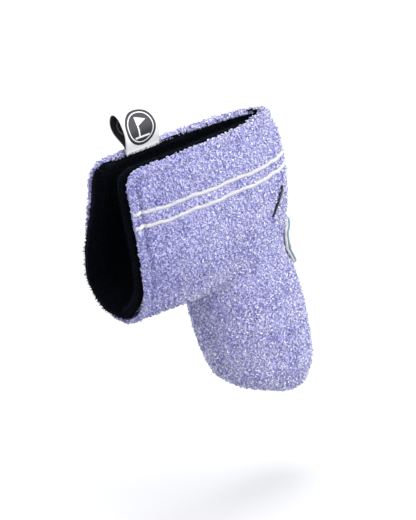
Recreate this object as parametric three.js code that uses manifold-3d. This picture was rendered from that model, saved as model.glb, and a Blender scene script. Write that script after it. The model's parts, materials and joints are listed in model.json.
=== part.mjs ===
// A soft cover for a blade putter, in millimetres.
// +X runs from the neck opening towards the sole fold, +Y from the front panel to the back panel, +Z from the toe up
// to the heel. The origin is the centre of the neck opening, where the putter's neck leaves the cover.
// The wall has three layers: a looped terry shell, a foam pad and a plush lining. Front and back halves are sewn
// together along the underside, the toe and the sole, and are open at the neck and along the top.
// The corner of each half folds about a slanting line, and two pairs of magnets pull the corners together.
import * as THREE from "three";
import { mergeVertices } from "three/addons/utils/BufferGeometryUtils.js";
import Module from "manifold-3d";

const wasm = await Module();
wasm.setup();

// ---- driving dimensions ----
const TOP_Z = 43; // the open top edge
const CORNER_R = 9; // the rounded corner between the neck opening and the top edge
const RING_POINTS = 24; // points round each horizontal section
const ROUNDNESS = 2.4; // 2 is an ellipse, and more is squarer
const THIN = 12; // sections with a half depth under this are thinned in proportion
const LAYERS = { shell: [0, 2.6], pad: [2.9, 6.1], lining: [6.4, 8] }; // depth in from the outside
const PAD_MARGIN = 4; // the pad stops this far short of the open edges
const SEAM_GAP = 0.15; // each half stays this far from the middle plane
const FOLD_GAP = 1.8; // room on each side of a fold line
const CLEAR = 0.3; // room between pieces that touch
const FOLD_TOP = { x: 85, z: TOP_Z }; // the fold line's two ends
const FOLD_MOUTH = { x: 0, z: -15 };
const REACH = 400; // larger than the cover in every direction, for the boxes that cut it

// Horizontal sections from the bottom up: [height, left end, right end, front half depth, back half depth].
// The neck block runs on past the neck opening and the top, where it is cut off.
const NECK_RINGS = [
  [-40, -60, 100, 1.2, 1.2],
  [-38.8, -60, 103, 7, 7.6],
  [-35.5, -60, 105.5, 13.4, 14.8],
  [-30, -60, 108, 18.2, 20.2],
  [-21, -60, 111, 21.6, 24],
  [-2, -60, 115.5, 22, 24.5],
  [12, -60, 117, 19.6, 22],
  [30, -60, 115.5, 16.3, 18],
  [43, -60, 110, 13.9, 15.6],
  [52, -60, 105, 12.2, 13.8],
];
const TOE_RINGS = [
  [-113.3, 98, 103.5, 2.2, 2.4],
  [-111, 93, 107.5, 8.2, 9],
  [-107, 85, 111, 13, 14.6],
  [-100, 70, 113.5, 17.8, 20],
  [-92, 61.5, 115.5, 20.4, 22.6],
  [-78, 55.5, 116, 21.4, 23.4],
  [-60, 51.5, 115, 21.4, 23.2],
  [-46, 49.5, 111.5, 21, 23],
  [-30, 50, 108, 19, 21],
  [-12, 54, 106, 16, 18],
];
const NECK_CENTRE = { x: 27.5, z: 0, spanX: 87.5, spanZ: 40 };
const TOE_CENTRE = { x: 84, z: -62, spanX: 33.5, spanZ: 51 };

// Magnets in their pouches, which are set in windows in the pads. A turn of 90 degrees stands a magnet upright.
const MAGNET = { long: 20, wide: 10, thick: 1.3 };
const POUCH = { long: 24, wide: 14, thick: 1.9, wall: 0.2 };
const WINDOW = { long: 26, wide: 16, thick: 12 };
const MAGNET_PLACES = {
  mouth: { x: 13, z: 24, turn: Math.PI / 2 },
  top: { x: 40, z: 31, turn: 0 },
};

// Embroidery on the outside of the shell. Each stripe falls evenly from the neck opening to the sole fold.
const THREAD = 0.9; // how far stitching stands out
const STRIPE_WIDTH = 2.2;
const STRIPES = { upper: { mouthZ: 22, foldZ: 18.6 }, lower: { mouthZ: 15, foldZ: 12.6 } };
const STRIPE_RUN = 115; // from the neck opening to the sole fold
const DASH = { x: 98, z: -3, length: 16.5, width: 1.3, slope: Math.PI / 4 };
const BALL = { z: -31, radius: 14.5, thick: 1.8, line: 2, lineThick: 0.7, lineMargin: 5 };
const TEE = { cupWidth: 9, stemWidth: 3.2, cupDepth: 4, length: 17 };
const PATCH_FROM_X = 88; // the patches are cut between this and PATCH_REACH further on
const PATCH_REACH = 60;

// The ribbon label on the top edge of the back half.
const LABEL = { x: 35.5, width: 22, ribbon: 0.6, lift: 0.6, anchorDepth: 3.4 };

// The ribbon's middle line from one sewn end round to the other: [back from the base, up from the base].
const LABEL_LINE = [
  [-0.45, 0],
  [-1.2, 4.5],
  [-1.1, 9],
  [0.4, 13],
  [2.4, 16.6],
  [5.4, 18.6],
  [8.2, 18.2],
  [10.1, 15.4],
  [10.4, 11.6],
  [8.6, 8],
  [4.6, 4.8],
  [1.7, 2.6],
  [0.45, 0],
];

// ---- manifold helpers ----
function solidFrom(geometry) {
  const plain = geometry.index ? geometry.toNonIndexed() : geometry.clone();
  for (const name of Object.keys(plain.attributes)) {
    if (name !== "position") plain.deleteAttribute(name);
  }
  const merged = mergeVertices(plain, 1e-4);
  return new wasm.Manifold(
    new wasm.Mesh({
      numProp: 3,
      vertProperties: new Float32Array(merged.attributes.position.array),
      triVerts: new Uint32Array(merged.index.array),
    }),
  );
}

function geometryFrom(solid) {
  const mesh = solid.getMesh();
  const geometry = new THREE.BufferGeometry();
  geometry.setAttribute("position", new THREE.BufferAttribute(mesh.vertProperties, 3));
  geometry.setIndex(new THREE.BufferAttribute(mesh.triVerts, 1));
  const flat = geometry.toNonIndexed();
  flat.computeVertexNormals();
  return flat;
}

const intersect = (...solids) => solids.reduce((a, b) => a.intersect(b));

// ---- the soft body ----
// A point of a section: t runs once round, anticlockwise seen from above.
function sectionPoint([z, left, right, frontHalf, backHalf], t) {
  const half = Math.sin(t) < 0 ? frontHalf : backHalf;
  const squared = (v) => Math.sign(v) * Math.abs(v) ** (2 / ROUNDNESS);
  const x = (left + right) / 2 + ((right - left) / 2) * squared(Math.cos(t));
  return new THREE.Vector3(x, half * squared(Math.sin(t)), z);
}

// The rings moved in by depth: towards the centre in X and Z, and thinner in Y.
function insetRings(rings, centre, depth) {
  const kx = 1 - depth / centre.spanX;
  const kz = 1 - depth / centre.spanZ;
  const thinner = (half) => half - depth * Math.min(1, half / THIN);
  return rings.map(([z, left, right, frontHalf, backHalf]) => [
    z >= TOP_Z ? z : centre.z + (z - centre.z) * kz,
    centre.x + (left - centre.x) * kx,
    centre.x + (right - centre.x) * kx,
    thinner(frontHalf),
    thinner(backHalf),
  ]);
}

// One closed body through a stack of rings, with a flat cap at each end.
function loft(rings) {
  const points = [];
  const faces = [];
  for (const ring of rings) {
    for (let i = 0; i < RING_POINTS; i++) points.push(sectionPoint(ring, (2 * Math.PI * i) / RING_POINTS));
  }
  const at = (row, i) => row * RING_POINTS + (i % RING_POINTS);
  for (let row = 0; row + 1 < rings.length; row++) {
    for (let i = 0; i < RING_POINTS; i++) {
      faces.push(at(row, i), at(row, i + 1), at(row + 1, i + 1));
      faces.push(at(row, i), at(row + 1, i + 1), at(row + 1, i));
    }
  }
  const top = rings.length - 1;
  for (let i = 1; i + 1 < RING_POINTS; i++) {
    faces.push(at(0, 0), at(0, i + 1), at(0, i));
    faces.push(at(top, 0), at(top, i), at(top, i + 1));
  }
  const geometry = new THREE.BufferGeometry().setFromPoints(points);
  geometry.setIndex(faces);
  return solidFrom(geometry);
}

// The whole cover as a solid, moved in by depth from its outside (or out, if depth is negative).
function bodyAt(depth) {
  const neck = loft(insetRings(NECK_RINGS, NECK_CENTRE, depth));
  const toe = loft(insetRings(TOE_RINGS, TOE_CENTRE, depth));
  return neck.add(toe);
}

const betweenDepths = (outer, inner) => bodyAt(outer).subtract(bodyAt(inner));

// ---- regions, all extruded along Y through the whole cover ----
function throughY(shape) {
  const geometry = new THREE.ExtrudeGeometry(shape, { depth: REACH, bevelEnabled: false, curveSegments: 8 });
  geometry.rotateX(Math.PI / 2).translate(0, REACH / 2, 0);
  return solidFrom(geometry);
}

// What lies behind the neck opening and below the top edge, moved in by margin.
function insideEdges(margin) {
  const left = margin;
  const top = TOP_Z - margin;
  const r = CORNER_R - margin / 2;
  const shape = new THREE.Shape();
  shape.moveTo(left, -REACH);
  shape.lineTo(REACH, -REACH);
  shape.lineTo(REACH, top);
  shape.lineTo(left + r, top);
  shape.absarc(left + r, top - r, r, Math.PI / 2, Math.PI, false);
  return throughY(shape);
}

// The corner beyond the fold line, from gap past the line outwards.
function beyondFold(gap) {
  const along = new THREE.Vector2(FOLD_TOP.x - FOLD_MOUTH.x, FOLD_TOP.z - FOLD_MOUTH.z).normalize();
  const out = new THREE.Vector2(-along.y, along.x);
  const start = new THREE.Vector2(FOLD_MOUTH.x, FOLD_MOUTH.z).addScaledVector(out, gap);
  const corners = [
    start.clone().addScaledVector(along, -REACH),
    start.clone().addScaledVector(along, REACH),
    start.clone().addScaledVector(along, REACH).addScaledVector(out, REACH),
    start.clone().addScaledVector(along, -REACH).addScaledVector(out, REACH),
  ];
  return throughY(new THREE.Shape(corners));
}

function block(xSize, ySize, zSize, x, y, z) {
  return solidFrom(new THREE.BoxGeometry(xSize, ySize, zSize).translate(x, y, z));
}

const HALVES = {
  front: { side: -1, region: block(REACH, REACH, REACH, 0, -REACH / 2 - SEAM_GAP, 0) },
  back: { side: 1, region: block(REACH, REACH, REACH, 0, REACH / 2 + SEAM_GAP, 0) },
};
const cornerRegion = beyondFold(FOLD_GAP);
const PARTS = {
  corner: (solid) => solid.intersect(cornerRegion),
  pocket: (solid) => solid.subtract(beyondFold(-FOLD_GAP)),
};

// ---- materials ----
const material = (color, roughness, metalness = 0) => new THREE.MeshStandardMaterial({ color, roughness, metalness });
const MATERIALS = {
  terry: material(0xb0b1d5, 0.95),
  foam: material(0xe9e4d2, 0.9),
  plush: material(0x0b0b0d, 0.95),
  whiteThread: material(0xe4e3e6, 0.7),
  blackThread: material(0x16161a, 0.7),
  redThread: material(0xd8402f, 0.7),
  label: material(0xe8e7e4, 0.75),
  cotton: material(0xd9d6cc, 0.9),
  magnet: material(0xb9bcc0, 0.3, 1),
};

const cover = new THREE.Group();
function addPiece(name, solid, kind) {
  const mesh = new THREE.Mesh(geometryFrom(solid), MATERIALS[kind]);
  mesh.name = name;
  cover.add(mesh);
}

// ---- outside surface ----
// Half depth of one half of the neck block at (x, z), moved in by depth.
function neckHalfDepth(x, z, depth, side) {
  const upper = NECK_RINGS.findIndex((ring) => ring[0] >= z);
  const [a, b] = [NECK_RINGS[upper - 1], NECK_RINGS[upper]];
  const share = (z - a[0]) / (b[0] - a[0]);
  const mix = (i) => a[i] + (b[i] - a[i]) * share;
  const across = Math.abs((x - (mix(1) + mix(2)) / 2) / ((mix(2) - mix(1)) / 2));
  const half = mix(side < 0 ? 3 : 4) - depth;
  return half * (1 - across ** ROUNDNESS) ** (1 / ROUNDNESS);
}

// ---- magnets and pouches ----
// Turns a flat box lying in X (long), Z (wide) and Y (thick) to its place on the wall.
function placement({ x, z, turn }, side) {
  const depth = (LAYERS.pad[0] + LAYERS.pad[1]) / 2;
  const halfAt = (dx, dz) => neckHalfDepth(x + dx, z + dz, depth, side);
  const y = side * halfAt(0, 0);
  const step = 8;
  const slopeZ = (halfAt(0, step) - halfAt(0, -step)) / (2 * step);
  const slopeX = (halfAt(step, 0) - halfAt(-step, 0)) / (2 * step);
  const normal = new THREE.Vector3(-slopeX, side, -slopeZ).normalize();
  const lay = new THREE.Quaternion().setFromUnitVectors(new THREE.Vector3(0, side, 0), normal);
  const spin = new THREE.Quaternion().setFromAxisAngle(new THREE.Vector3(0, 1, 0), turn);
  return new THREE.Matrix4().compose(new THREE.Vector3(x, y, z), lay.multiply(spin), new THREE.Vector3(1, 1, 1));
}

function plate(size, matrix, shiftX = 0) {
  const geometry = new THREE.BoxGeometry(size.long, size.thick, size.wide).translate(shiftX, 0, 0);
  return solidFrom(geometry.applyMatrix4(matrix));
}

// A flat bag that is open at one short end, with room for the magnet.
function pouchSolid(matrix) {
  const room = {
    long: POUCH.long,
    wide: POUCH.wide - 2 * POUCH.wall - 2,
    thick: POUCH.thick - 2 * POUCH.wall,
  };
  return plate(POUCH, matrix).subtract(plate(room, matrix, 1.5));
}

// ---- the wall, layer by layer ----
function addWall(layer, kind, half, part) {
  const { side, region } = HALVES[half];
  const margin = layer === "pad" ? PAD_MARGIN : 0;
  let solid = intersect(betweenDepths(...LAYERS[layer]), insideEdges(margin), region);
  solid = PARTS[part](solid);
  if (layer === "pad" && part === "corner") {
    for (const place of Object.values(MAGNET_PLACES)) solid = solid.subtract(plate(WINDOW, placement(place, side)));
  }
  addPiece(`${layer}_${half}_${part}`, solid, kind);
}

function addMagnets(half) {
  const { side } = HALVES[half];
  for (const [place, spot] of Object.entries(MAGNET_PLACES)) {
    const matrix = placement(spot, side);
    addPiece(`magnet_${half}_${place}`, plate(MAGNET, matrix), "magnet");
    addPiece(`magnet_pouch_${half}_${place}`, pouchSolid(matrix), "cotton");
  }
}

// ---- embroidery on the outside of the shell ----
function addStripe(name, { mouthZ, foldZ }, half, part) {
  const fall = Math.atan2(foldZ - mouthZ, STRIPE_RUN);
  const slab = new THREE.BoxGeometry(REACH, REACH, STRIPE_WIDTH).rotateY(-fall);
  const band = solidFrom(slab.translate(STRIPE_RUN / 2, 0, (mouthZ + foldZ) / 2));
  const skin = intersect(betweenDepths(-CLEAR - THREAD, -CLEAR), insideEdges(0), band, HALVES[half].region);
  addPiece(`stripe_${name}_${half}_${part}`, PARTS[part](skin), "whiteThread");
}

// A slanting dash of black satin stitch near the sole fold.
function addDash(half) {
  const slab = new THREE.BoxGeometry(DASH.length, REACH, DASH.width).rotateY(-DASH.slope);
  const dash = solidFrom(slab.translate(DASH.x, 0, DASH.z));
  const skin = intersect(betweenDepths(-CLEAR - THREAD, -CLEAR), dash, HALVES[half].region);
  addPiece(`dash_${half}`, skin, "blackThread");
}

// A golf ball on a tee, stitched on the sole fold.
function alongX(shape) {
  const geometry = new THREE.ExtrudeGeometry(shape, { depth: PATCH_REACH, bevelEnabled: false, curveSegments: 16 });
  geometry.rotateX(Math.PI / 2).rotateZ(Math.PI / 2);
  return solidFrom(geometry.translate(PATCH_FROM_X, 0, 0));
}
function addBallOnTee() {
  const disc = new THREE.Shape().absarc(0, BALL.z, BALL.radius, 0, 2 * Math.PI, false);
  const ball = intersect(betweenDepths(-CLEAR - BALL.thick, -CLEAR), alongX(disc));
  addPiece("ball_patch", ball, "whiteThread");
  const lineLength = 2 * BALL.radius - BALL.lineMargin;
  const lineBox = block(PATCH_REACH, lineLength, BALL.line, PATCH_FROM_X + PATCH_REACH / 2, 0, BALL.z);
  const outside = CLEAR + BALL.thick + CLEAR;
  const lineOuter = outside + BALL.lineThick;
  addPiece("ball_line", intersect(betweenDepths(-lineOuter, -outside), lineBox), "redThread");
  const cupZ = BALL.z - BALL.radius - CLEAR;
  const tee = new THREE.Shape([
    new THREE.Vector2(-TEE.cupWidth / 2, cupZ),
    new THREE.Vector2(-TEE.stemWidth / 2, cupZ - TEE.cupDepth),
    new THREE.Vector2(-TEE.stemWidth / 3, cupZ - TEE.length),
    new THREE.Vector2(TEE.stemWidth / 3, cupZ - TEE.length),
    new THREE.Vector2(TEE.stemWidth / 2, cupZ - TEE.cupDepth),
    new THREE.Vector2(TEE.cupWidth / 2, cupZ),
  ]);
  const stitched = intersect(betweenDepths(-CLEAR - THREAD, -CLEAR), alongX(tee));
  addPiece("tee_patch", stitched, "redThread");
}

// ---- the loop label ----
function addLabel() {
  const middle = (LAYERS.shell[1] + LAYERS.lining[0]) / 2;
  const y = neckHalfDepth(LABEL.x, TOP_Z, middle, 1);
  const line = new THREE.CatmullRomCurve3(LABEL_LINE.map(([back, up]) => new THREE.Vector3(back, up, 0)));
  const points = line.getPoints(40);
  const sideLine = (amount) =>
    points.map((point, i) => {
      const before = points[Math.max(0, i - 1)];
      const after = points[Math.min(points.length - 1, i + 1)];
      const way = after.clone().sub(before).normalize();
      return new THREE.Vector2(point.x - way.y * amount, point.y + way.x * amount);
    });
  const outline = [...sideLine(LABEL.ribbon / 2), ...sideLine(-LABEL.ribbon / 2).reverse()];
  const loop = new THREE.ExtrudeGeometry(new THREE.Shape(outline), { depth: LABEL.width, bevelEnabled: false });
  const [alongX, back, up] = [new THREE.Vector3(1, 0, 0), new THREE.Vector3(0, 1, 0), new THREE.Vector3(0, 0, 1)];
  loop.applyMatrix4(new THREE.Matrix4().makeBasis(back, up, alongX));
  loop.translate(LABEL.x - LABEL.width / 2, y, TOP_Z + LABEL.lift);
  addPiece("label_loop", solidFrom(loop), "label");
  const lean = Math.atan2(neckHalfDepth(LABEL.x, TOP_Z - 6, middle, 1) - y, 6);
  const anchor = new THREE.BoxGeometry(LABEL.width, 2 * LABEL.ribbon, LABEL.anchorDepth);
  anchor.translate(0, 0, -LABEL.anchorDepth / 2).rotateX(lean).translate(LABEL.x, y, TOP_Z - CLEAR);
  addPiece("label_anchor", solidFrom(anchor), "label");
}

// ---- assembly ----
for (const half of ["front", "back"]) {
  for (const part of ["corner", "pocket"]) {
    addWall("shell", "terry", half, part);
    addWall("pad", "foam", half, part);
    addWall("lining", "plush", half, part);
    for (const [name, stripe] of Object.entries(STRIPES)) addStripe(name, stripe, half, part);
  }
  addMagnets(half);
}
addDash("front");
addBallOnTee();
addLabel();

export default cover;
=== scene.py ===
# %% [markdown]
# # A soft cover for a blade putter
# The cover is a sewn L-shaped bag. Curly terry is outside, black plush is inside, and a sheet of foam
# lies between them. It is open at the neck side and along the top, and two corners fold open like lapels.
# The measured model already holds every size and every joint. Here each layer gets the surface that a
# hand would feel.

# %% Load the fixed frame
import json
import math

import bmesh
import bpy
import numpy as np
from mathutils import Matrix, Vector
from mathutils.bvhtree import BVHTree
from mathutils.kdtree import KDTree

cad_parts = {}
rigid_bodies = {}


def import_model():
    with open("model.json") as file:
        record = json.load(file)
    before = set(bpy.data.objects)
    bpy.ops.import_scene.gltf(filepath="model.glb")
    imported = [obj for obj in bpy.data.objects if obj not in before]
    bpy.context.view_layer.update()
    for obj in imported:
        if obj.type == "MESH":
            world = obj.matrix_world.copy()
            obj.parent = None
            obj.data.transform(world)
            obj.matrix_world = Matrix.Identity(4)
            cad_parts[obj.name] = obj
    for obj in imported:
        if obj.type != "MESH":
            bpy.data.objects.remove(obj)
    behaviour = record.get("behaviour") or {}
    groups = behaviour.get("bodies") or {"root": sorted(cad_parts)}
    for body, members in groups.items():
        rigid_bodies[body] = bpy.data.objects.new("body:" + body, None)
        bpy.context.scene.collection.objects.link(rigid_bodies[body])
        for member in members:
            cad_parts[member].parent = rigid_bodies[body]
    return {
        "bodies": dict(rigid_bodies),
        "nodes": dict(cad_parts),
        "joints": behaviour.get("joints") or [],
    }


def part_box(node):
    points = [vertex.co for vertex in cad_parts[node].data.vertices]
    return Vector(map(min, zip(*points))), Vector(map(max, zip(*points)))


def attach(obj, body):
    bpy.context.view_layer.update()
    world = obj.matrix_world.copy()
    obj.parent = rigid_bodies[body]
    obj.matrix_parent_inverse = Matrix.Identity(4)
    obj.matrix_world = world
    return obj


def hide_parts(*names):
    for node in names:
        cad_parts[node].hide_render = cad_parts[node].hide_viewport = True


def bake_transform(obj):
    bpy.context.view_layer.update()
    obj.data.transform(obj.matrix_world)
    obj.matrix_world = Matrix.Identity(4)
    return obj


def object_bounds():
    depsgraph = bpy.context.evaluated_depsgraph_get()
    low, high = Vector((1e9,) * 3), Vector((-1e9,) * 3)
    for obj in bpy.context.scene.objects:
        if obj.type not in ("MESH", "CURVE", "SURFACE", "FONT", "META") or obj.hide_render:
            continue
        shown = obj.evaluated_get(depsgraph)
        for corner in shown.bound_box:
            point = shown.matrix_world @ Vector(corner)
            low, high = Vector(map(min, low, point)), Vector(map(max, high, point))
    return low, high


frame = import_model()
CAD_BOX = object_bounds()
NODES = frame["nodes"]
MM = 0.001
print("cover, mm:", [round((high - low) / MM, 1) for low, high in zip(*CAD_BOX)])

# %% [markdown]
# ## Camera
# A long lens from a metre and a half away keeps the upright edges parallel. The camera stands to the left
# of the front panel and above it, so that it looks into the neck opening, and it is rolled a little, so
# that the cover leans to the left.

# %% Place the camera
AZIMUTH = math.radians(-39.5)
ELEVATION = math.radians(21)
ROLL = math.radians(-7)
DISTANCE = 1.5
FRAME_HEIGHT = 0.2678  # how much of the scene the frame's height shows
AIM = Vector((0.058, -0.0024, -0.0238))

back = Vector((
    math.sin(AZIMUTH) * math.cos(ELEVATION),
    -math.cos(AZIMUTH) * math.cos(ELEVATION),
    math.sin(ELEVATION),
))
right = Vector((math.cos(AZIMUTH), math.sin(AZIMUTH), 0))
up = back.cross(right)
turned_right = right * math.cos(ROLL) + up * math.sin(ROLL)
turned_up = back.cross(turned_right)
bpy.ops.object.camera_add()
camera = bpy.context.object
camera.matrix_world = Matrix((turned_right, turned_up, back)).transposed().to_4x4()
camera.location = AIM + back * DISTANCE
camera.data.lens = camera.data.sensor_width * DISTANCE / FRAME_HEIGHT
bpy.context.scene.camera = camera
print("lens, mm:", round(camera.data.lens))

# %% [markdown]
# ## Light and floor
# The room is a plain pale sweep. A strong pale sky lights the cloth from all sides. One broad sun from
# the right shows the pits between the loops, and one from above drops a soft shadow on the floor. Suns
# with a wide angle light the whole floor evenly, where near lamps would leave a bright pool.

# %% Build the studio
bpy.context.scene.view_settings.view_transform = "Standard"
FLOOR_Z = CAD_BOX[0][2] - 0.052
bpy.ops.mesh.primitive_plane_add(size=12, location=(0, 0, FLOOR_Z))
floor = bpy.context.object
floor.name = "floor"
paper = bpy.data.materials.new("pale_paper")
paper.use_nodes = True
paper_shader = paper.node_tree.nodes["Principled BSDF"]
paper_shader.inputs["Base Color"].default_value = (0.53, 0.53, 0.535, 1)
paper_shader.inputs["Roughness"].default_value = 0.9
floor.data.materials.append(paper)

sky = bpy.data.worlds.new("studio")
bpy.context.scene.world = sky
sky.use_nodes = True
sky.node_tree.nodes["Background"].inputs["Color"].default_value = (0.97, 0.975, 1, 1)
sky.node_tree.nodes["Background"].inputs["Strength"].default_value = 1.4


def soft_sun(name, towards, strength, spread):
    """A broad light from a direction: towards points from the cover to the light."""
    bpy.ops.object.light_add(type="SUN", location=AIM + Vector(towards))
    lamp = bpy.context.object
    lamp.name = name
    lamp.data.energy = strength
    lamp.data.angle = math.radians(spread)
    lamp.rotation_euler = Vector(towards).to_track_quat("Z", "Y").to_euler()


soft_sun("key_light", back * 0.5 + right * 1.0 + up * 0.35, 2.5, 50)
soft_sun("top_light", (0.05, -0.05, 1), 1.2, 28)

# %% [markdown]
# ## Working by hand, in code
# An operator acts on whatever is selected, so a step starts by deselecting everything and picking its own
# piece. These few helpers do that, and read and write a mesh's points as one array.

# %% Helpers for picking and measuring pieces
def only(piece):
    """Leaves edit mode, deselects everything and picks this piece."""
    if bpy.context.object and bpy.context.object.mode != "OBJECT":
        bpy.ops.object.mode_set(mode="OBJECT")
    bpy.ops.object.select_all(action="DESELECT")
    piece.select_set(True)
    bpy.context.view_layer.objects.active = piece
    return piece


def points_of(piece):
    co = np.empty(3 * len(piece.data.vertices))
    piece.data.vertices.foreach_get("co", co)
    return co.reshape(-1, 3)


def normals_of(piece):
    normals = np.empty(3 * len(piece.data.vertices))
    piece.data.vertices.foreach_get("normal", normals)
    return normals.reshape(-1, 3)


def tree_of(places):
    """A tree that finds the nearest of some places."""
    tree = KDTree(len(places))
    for index, place in enumerate(places):
        tree.insert(place, index)
    tree.balance()
    return tree


def move_points(piece, co):
    piece.data.vertices.foreach_set("co", np.asarray(co).ravel())
    piece.data.update()


def copy_of(piece, name):
    twin = piece.copy()
    twin.data = piece.data.copy()
    twin.name = name
    bpy.context.collection.objects.link(twin)
    return twin


def apply(piece, kind, **settings):
    """Adds a modifier with these settings and applies it."""
    only(piece)
    modifier = piece.modifiers.new(kind.lower(), kind)
    for key, value in settings.items():
        setattr(modifier, key, value)
    bpy.ops.object.modifier_apply(modifier=modifier.name)
    return piece


def remove(piece):
    bpy.data.objects.remove(piece)


# %% [markdown]
# ## The stuffed form
# Every layer follows one shape, the stuffed cover. It is two bags run together: the neck block, and the
# toe pocket that hangs from it. A lathe can't make them and a box is too square, so each is drawn as
# level outlines, like the slices of a loaf, and skinned. The slices are measured on the fixed model, so
# the cloth can't drift from it.

# %% Measure level slices of the fixed model
SHELLS = sorted(name for name in NODES if name.startswith("shell_"))
TOP = max(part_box(name)[1][2] for name in SHELLS)
TOE_END = min(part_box(name)[0][2] for name in SHELLS)
shell_points = np.vstack([points_of(NODES[name]) for name in SHELLS])
UNDERSIDE = shell_points[shell_points[:, 0] < 0.03][:, 2].min()


def slice_at(height, x_from=-1.0, x_to=1.0):
    """Left end, right end, front depth and back depth of the shell at a height, between two places
    along X."""
    hits = []
    for name in SHELLS:
        mesh = NODES[name].data
        ends = np.empty(2 * len(mesh.edges), int)
        mesh.edges.foreach_get("vertices", ends)
        co = points_of(NODES[name])
        a, b = co[ends[0::2]], co[ends[1::2]]
        crossing = (a[:, 2] - height) * (b[:, 2] - height) < 0
        a, b = a[crossing], b[crossing]
        hits.append(a + (b - a) * ((height - a[:, 2]) / (b[:, 2] - a[:, 2]))[:, None])
    hits = np.vstack(hits)
    hits = hits[(hits[:, 0] > x_from) & (hits[:, 0] < x_to)]
    return hits[:, 0].min(), hits[:, 0].max(), -hits[:, 1].min(), hits[:, 1].max()


print("top, underside, toe, mm:", [round(z / MM, 1) for z in (TOP, UNDERSIDE, TOE_END)])

# %% Turn the slices into two lists of rings
NECK_LEFT = -0.06  # the neck block runs on past its opening, and is trimmed later
OVERRUN = 0.009  # and this far above the top edge
SMALL = 0.0002


def neck_rings():
    """Rings as (height, left, right, front depth, back depth), from the underside up."""
    rings = []
    for share in (
        0.004, 0.016, 0.035, 0.055, 0.085, 0.12, 0.17, 0.23, 0.33, 0.46, 0.55, 0.63, 0.75, 0.88, 0.996
    ):
        height = UNDERSIDE + (TOP - UNDERSIDE) * share
        _, right_end, _, _ = slice_at(height)
        _, _, front, rear = slice_at(height, 0.0, 0.045)
        rings.append([height, NECK_LEFT, right_end, front, rear])
    (z0, *low), (z1, *high) = rings[-2:]
    grow = OVERRUN / (z1 - z0)
    rings.append([z1 + OVERRUN] + [b + (b - a) * grow for a, b in zip(low, high)])
    return rings


def toe_rings():
    rings = []
    crotch = UNDERSIDE - 0.001
    for share in (0.002, 0.012, 0.03, 0.055, 0.085, 0.13, 0.18, 0.24, 0.3, 0.38, 0.47, 0.58, 0.72, 0.86, 1):
        height = TOE_END + (crotch - TOE_END) * share
        rings.append([height, *slice_at(height)])
    left_end = rings[-1][1]
    for rise, shrink in ((0.010, 0.98), (0.019, 0.9), (0.028, 0.78)):
        _, right_end, front, rear = slice_at(crotch + rise, 0.06, 1.0)
        inner_right = left_end + (right_end - left_end) * (0.5 + shrink / 2)
        rings.append([crotch + rise, left_end + rise * 0.15, inner_right, front * shrink, rear * shrink])
    return rings


NECK = neck_rings()
TOE = toe_rings()
print("rings:", len(NECK), "for the neck block and", len(TOE), "for the toe pocket")

# %% Skin the rings
RING_POINTS = 72
SQUARENESS = 2.4  # 2 would be an ellipse
THIN = 0.012  # thinner slices give way in proportion


def inset(rings, depth, middle_x, half_x, middle_z, half_z):
    """The rings moved in by a depth from the outside."""
    keep_x, keep_z = 1 - depth / half_x, 1 - depth / half_z
    moved = []
    for height, left_end, right_end, front, rear in rings:
        moved.append([
            height if height > TOP - SMALL * 2 else middle_z + (height - middle_z) * keep_z,
            middle_x + (left_end - middle_x) * keep_x,
            middle_x + (right_end - middle_x) * keep_x,
            front - depth * min(1, front / THIN),
            rear - depth * min(1, rear / THIN),
        ])
    return moved


def skin(name, rings):
    """One closed bag through the rings: a circle is extruded once for each ring, and its points are
    then set."""
    bpy.ops.object.select_all(action="DESELECT")
    bpy.ops.mesh.primitive_circle_add(vertices=RING_POINTS, radius=0.05)
    bag = bpy.context.object
    bag.name = name
    bpy.ops.object.mode_set(mode="EDIT")
    for _ in rings[1:]:
        bpy.ops.mesh.extrude_region_move(TRANSFORM_OT_translate={"value": (0, 0, 0.01)})
    bpy.ops.object.mode_set(mode="OBJECT")
    turn = 2 * math.pi * np.arange(RING_POINTS) / RING_POINTS
    squared = lambda wave: np.sign(wave) * np.abs(wave) ** (2 / SQUARENESS)
    co = []
    for height, left_end, right_end, front, rear in rings:
        half = np.where(np.sin(turn) < 0, front, rear)
        x = (left_end + right_end) / 2 + (right_end - left_end) / 2 * squared(np.cos(turn))
        co.append(np.column_stack([x, half * squared(np.sin(turn)), np.full(RING_POINTS, height)]))
    move_points(bag, np.vstack(co))
    only(bag)
    bpy.ops.object.mode_set(mode="EDIT")
    bpy.ops.mesh.select_all(action="DESELECT")
    bpy.ops.mesh.select_mode(type="EDGE")
    bpy.ops.mesh.select_non_manifold()
    bpy.ops.mesh.edge_face_add()
    bpy.ops.mesh.select_all(action="SELECT")
    bpy.ops.mesh.normals_make_consistent(inside=False)
    bpy.ops.object.mode_set(mode="OBJECT")
    return bag


def plain_form(name, depth, voxel):
    """The whole stuffed cover, moved in by a depth, as one closed mesh with even faces."""
    neck = skin(name, inset(NECK, depth, 0.0275, 0.0875, 0, -UNDERSIDE))
    toe = skin(name + "_toe", inset(TOE, depth, 0.084, 0.0335, -0.062, 0.051))
    only(neck)
    toe.select_set(True)
    bpy.ops.object.join()
    return apply(neck, "REMESH", mode="VOXEL", voxel_size=voxel)


# %% [markdown]
# ## Puff it up
# Foam behind sewn cloth swells between the seams and stays flat along them. Cloth simulation with a
# little pressure inside gives exactly that, where a smooth modifier would only round everything off. The
# seams and the edges of the opening are held, and no point may move further than a real wall this thick
# would.

# %% Swell the form under pressure
SWELL_START = 0.0001  # the form starts this much smaller than the model
SWELL_CAP = 0.0020
MOUTH_LEAN = 0.0022  # near the opening both panels bend in towards each other
PRESSURE = 150  # a small form needs more of it than a cushion does


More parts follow.
